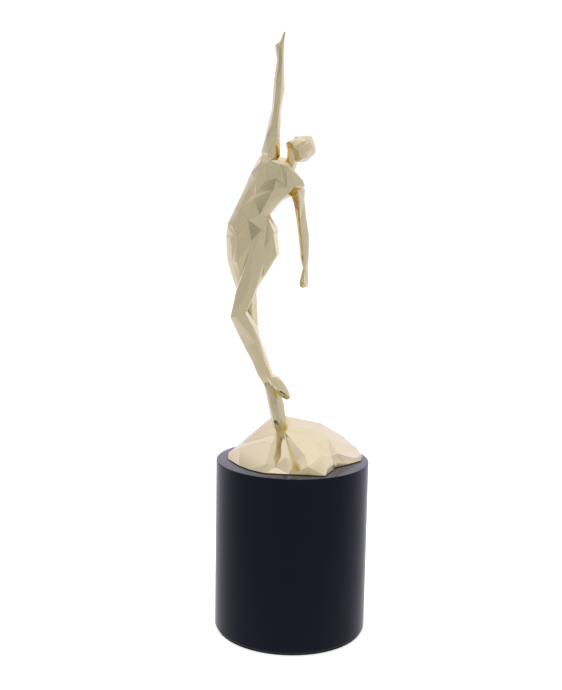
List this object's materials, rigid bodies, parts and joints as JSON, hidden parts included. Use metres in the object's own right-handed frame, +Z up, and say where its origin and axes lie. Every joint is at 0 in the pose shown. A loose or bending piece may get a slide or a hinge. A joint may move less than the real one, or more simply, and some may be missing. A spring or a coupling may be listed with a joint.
{
  "type": "statuette",
  "caption": "Faceted polished dancer figure rising from a rock mound, pinned to a tall round black lacquered plinth with a felt foot.",
  "frame": {"origin": "centre of the felt's underside, on the plinth's axis, where the statuette stands", "axes": "+Z up along the plinth's axis; the figure's chest and the front of the mound face -Y; +X is to the right seen from the front"},
  "size_m": [0.1, 0.1, 0.3856],
  "materials": {
    "polished_casting": "polished pale gold, faceted casting",
    "brass_pin": "drawn brass, unpolished",
    "zinc_steel": "zinc plated",
    "black_rubber": "matte, thin sheet",
    "black_lacquer": "high-gloss black lacquer over turned fibreboard",
    "grey_iron": "as cast",
    "dark_board": "hardboard, matt",
    "black_felt": "pressed felt"
  },
  "bodies": {
    "root": {"torso": "polished_casting", "head": "polished_casting", "raised_arm": "polished_casting", "lowered_arm": "polished_casting", "standing_leg": "polished_casting", "bent_leg": "polished_casting", "rock_mound": "polished_casting", "neck_dowel": "brass_pin", "raised_shoulder_dowel": "brass_pin", "lowered_shoulder_dowel": "brass_pin", "standing_hip_dowel": "brass_pin", "bent_hip_dowel": "brass_pin", "foot_pin": "brass_pin", "anti_turn_pins": "zinc_steel", "tie_rod": "zinc_steel", "tie_washer": "zinc_steel", "tie_nut": "zinc_steel", "plate_screws": "zinc_steel", "mound_gasket": "black_rubber", "plinth_body": "black_lacquer", "ballast_disc": "grey_iron", "bottom_plate": "dark_board", "felt_pad": "black_felt"}
  },
  "joints": []
}
